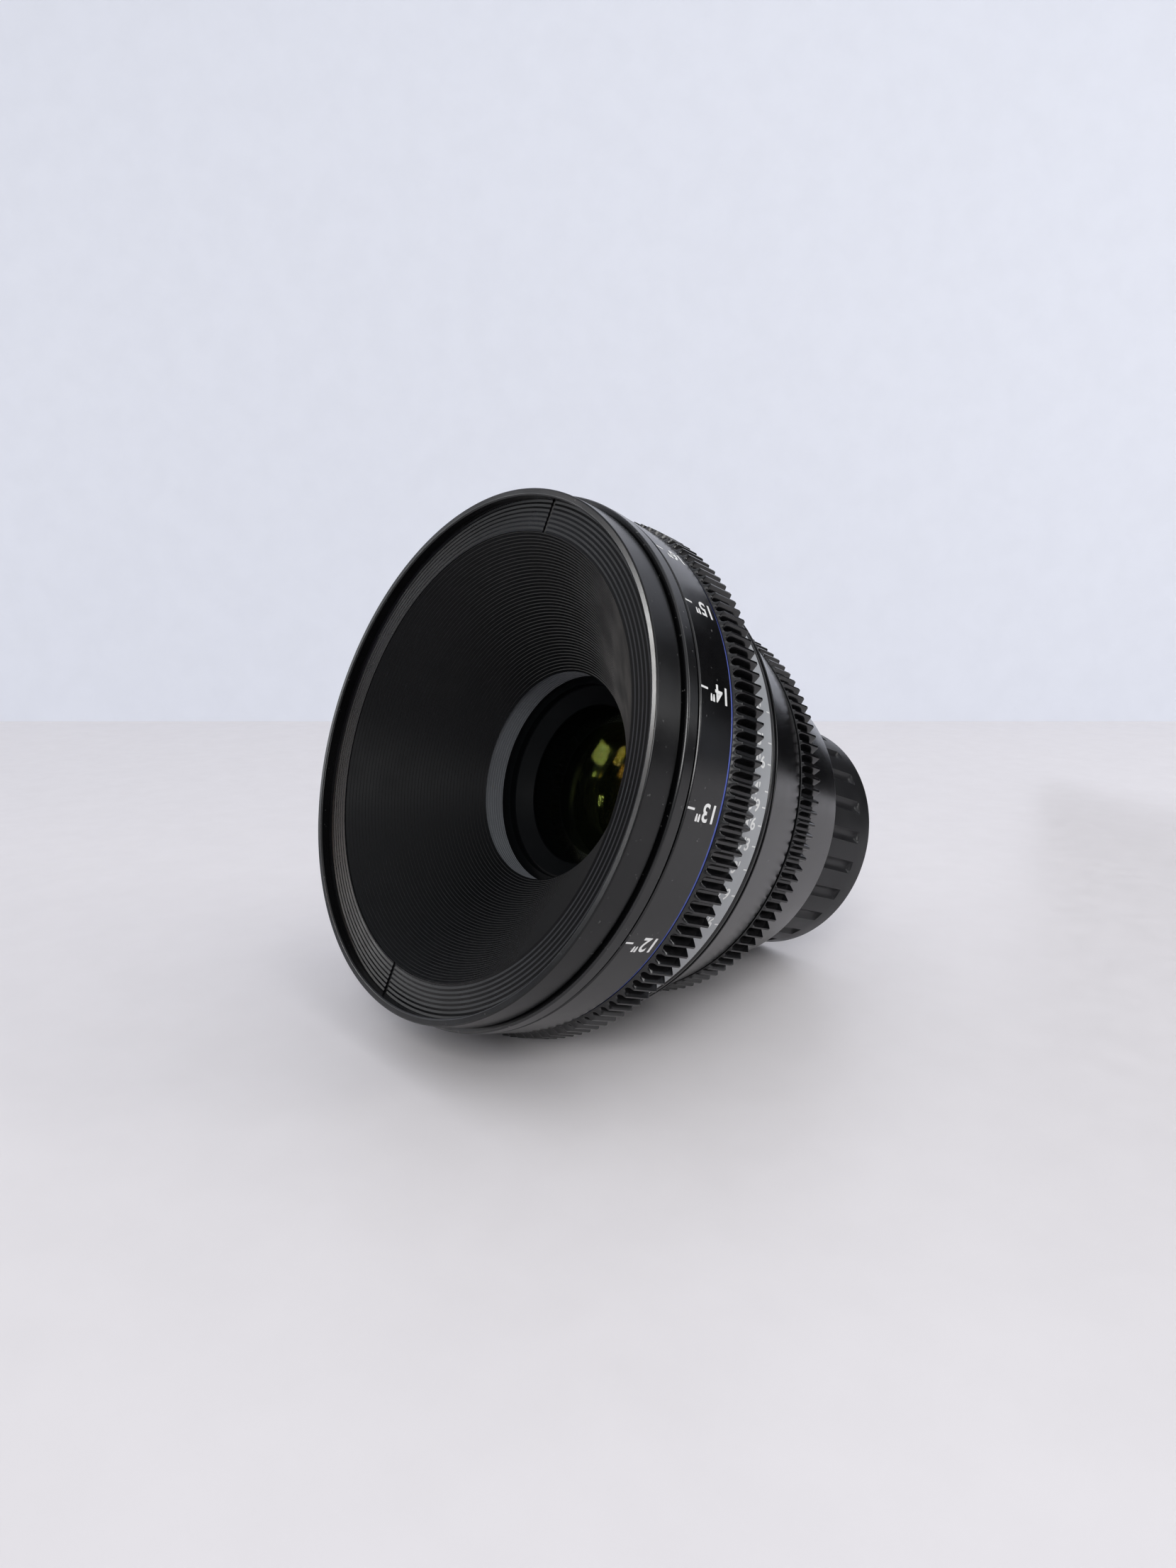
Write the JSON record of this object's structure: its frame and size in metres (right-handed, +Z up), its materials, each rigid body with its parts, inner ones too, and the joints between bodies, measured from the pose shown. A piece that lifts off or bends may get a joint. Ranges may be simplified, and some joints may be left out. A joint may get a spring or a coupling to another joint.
{
  "type": "cinema prime lens",
  "caption": "Wide cinema prime lens with a deep front baffle, focus and iris gears, blue trim ring and a rear cap, resting on its gears.",
  "frame": {"origin": "centre of the bounding box on the surface that the lens rests on", "axes": "+Z up, -Y the side that the front of the lens looks to, +X across; the lens axis lies in the YZ plane and falls 18.9 degrees to the rear"},
  "size_m": [0.1168, 0.1316, 0.118],
  "materials": {
    "black_anodised": "satin black anodising",
    "dull_black": "matt black anodising",
    "polished_black": "glossy black anodising",
    "plain_aluminium": "machined",
    "helicoid_brass": "machined",
    "mount_steel": "fine turned",
    "optical_glass": "polished, coated",
    "blue_anodised": "satin blue anodising",
    "grey_scale": "satin grey anodising",
    "cap_plastic": "moulded",
    "blade_steel": "black coated"
  },
  "bodies": {
    "barrel": {"main_barrel": "plain_aluminium", "index_ring": "polished_black", "guide_keys": "mount_steel", "rear_barrel": "black_anodised", "mount_shim": "mount_steel", "bayonet_mount": "mount_steel", "mount_screws": "mount_steel"},
    "focus_assembly": {"focus_ring": "black_anodised", "helicoid_sleeve": "helicoid_brass", "blue_trim_ring": "blue_anodised", "focus_gear_ring": "polished_black", "distance_scale_ring": "grey_scale"},
    "carriage": {"front_ring": "black_anodised", "front_collar": "black_anodised", "baffle_retaining_ring": "dull_black", "baffle_cone": "dull_black", "light_trap_tube": "dull_black", "carriage_tube": "plain_aluminium", "cell_mount_ring": "dull_black", "front_retaining_ring": "dull_black", "front_cell": "dull_black", "first_element": "optical_glass", "front_spacer": "dull_black", "second_element": "optical_glass", "middle_spacer": "dull_black", "third_element": "optical_glass", "iris_housing": "dull_black", "rear_cell": "dull_black", "fourth_element": "optical_glass", "fifth_element": "optical_glass", "sixth_element": "optical_glass", "rear_spacer": "dull_black", "seventh_element": "optical_glass", "rear_retaining_ring": "dull_black"},
    "iris_control": {"iris_ring": "black_anodised", "iris_gear_ring": "polished_black", "iris_drive_pin": "mount_steel"},
    "iris_cam": {"iris_cam_ring": "plain_aluminium"},
    "cap": {"rear_cap": "cap_plastic"},
    "blade_01": {"iris_blade_01": "blade_steel"},
    "blade_02": {"iris_blade_02": "blade_steel"},
    "blade_03": {"iris_blade_03": "blade_steel"},
    "blade_04": {"iris_blade_04": "blade_steel"},
    "blade_05": {"iris_blade_05": "blade_steel"},
    "blade_06": {"iris_blade_06": "blade_steel"},
    "blade_07": {"iris_blade_07": "blade_steel"},
    "blade_08": {"iris_blade_08": "blade_steel"},
    "blade_09": {"iris_blade_09": "blade_steel"},
    "blade_10": {"iris_blade_10": "blade_steel"}
  },
  "joints": [
    {"name": "focus_turn", "type": "hinge", "parent": "barrel", "child": "focus_assembly", "pos_m": [0, -0.04756, 0.06432], "axis": [0, -0.946, 0.3241], "range_deg": [0, 300]},
    {"name": "focus_travel", "type": "slide", "parent": "barrel", "child": "carriage", "axis": [0, -0.946, 0.3241], "range_m": [0, 0.00115]},
    {"name": "iris_turn", "type": "hinge", "parent": "barrel", "child": "iris_control", "pos_m": [0, -0.04756, 0.06432], "axis": [0, -0.946, 0.3241], "range_deg": [0, 80]},
    {"name": "iris_cam_turn", "type": "hinge", "parent": "carriage", "child": "iris_cam", "pos_m": [0, -0.04756, 0.06432], "axis": [0, -0.946, 0.3241], "range_deg": [0, 80]},
    {"name": "cap_slide", "type": "slide", "parent": "barrel", "child": "cap", "axis": [0, 0.946, -0.3241], "range_m": [0, 0.006]},
    {"name": "blade_turn_01", "type": "hinge", "parent": "carriage", "child": "blade_01", "pos_m": [0.015, 0.00925, 0.04486], "axis": [0, -0.946, 0.3241], "range_deg": [0, 29]},
    {"name": "blade_turn_02", "type": "hinge", "parent": "carriage", "child": "blade_02", "pos_m": [0.01214, 0.01234, 0.05312], "axis": [0, -0.946, 0.3241], "range_deg": [0, 29]},
    {"name": "blade_turn_03", "type": "hinge", "parent": "carriage", "child": "blade_03", "pos_m": [0.00464, 0.01434, 0.05819], "axis": [0, -0.946, 0.3241], "range_deg": [0, 29]},
    {"name": "blade_turn_04", "type": "hinge", "parent": "carriage", "child": "blade_04", "pos_m": [-0.00464, 0.01458, 0.05811], "axis": [0, -0.946, 0.3241], "range_deg": [0, 29]},
    {"name": "blade_turn_05", "type": "hinge", "parent": "carriage", "child": "blade_05", "pos_m": [-0.01214, 0.01305, 0.05287], "axis": [0, -0.946, 0.3241], "range_deg": [0, 29]},
    {"name": "blade_turn_06", "type": "hinge", "parent": "carriage", "child": "blade_06", "pos_m": [-0.015, 0.01043, 0.04445], "axis": [0, -0.946, 0.3241], "range_deg": [0, 29]},
    {"name": "blade_turn_07", "type": "hinge", "parent": "carriage", "child": "blade_07", "pos_m": [-0.01214, 0.00781, 0.03603], "axis": [0, -0.946, 0.3241], "range_deg": [0, 29]},
    {"name": "blade_turn_08", "type": "hinge", "parent": "carriage", "child": "blade_08", "pos_m": [-0.00464, 0.00628, 0.03079], "axis": [0, -0.946, 0.3241], "range_deg": [0, 29]},
    {"name": "blade_turn_09", "type": "hinge", "parent": "carriage", "child": "blade_09", "pos_m": [0.00464, 0.00652, 0.03071], "axis": [0, -0.946, 0.3241], "range_deg": [0, 29]},
    {"name": "blade_turn_10", "type": "hinge", "parent": "carriage", "child": "blade_10", "pos_m": [0.01214, 0.00852, 0.03579], "axis": [0, -0.946, 0.3241], "range_deg": [0, 29]}
  ],
  "couplings": [
    {"joint": "focus_travel", "follows": "focus_turn", "m_per_rad": 0.00021963},
    {"joint": "iris_cam_turn", "follows": "iris_turn", "ratio": 1},
    {"joint": "blade_turn_01", "follows": "iris_turn", "ratio": 0.3625},
    {"joint": "blade_turn_02", "follows": "iris_turn", "ratio": 0.3625},
    {"joint": "blade_turn_03", "follows": "iris_turn", "ratio": 0.3625},
    {"joint": "blade_turn_04", "follows": "iris_turn", "ratio": 0.3625},
    {"joint": "blade_turn_05", "follows": "iris_turn", "ratio": 0.3625},
    {"joint": "blade_turn_06", "follows": "iris_turn", "ratio": 0.3625},
    {"joint": "blade_turn_07", "follows": "iris_turn", "ratio": 0.3625},
    {"joint": "blade_turn_08", "follows": "iris_turn", "ratio": 0.3625},
    {"joint": "blade_turn_09", "follows": "iris_turn", "ratio": 0.3625},
    {"joint": "blade_turn_10", "follows": "iris_turn", "ratio": 0.3625}
  ]
}
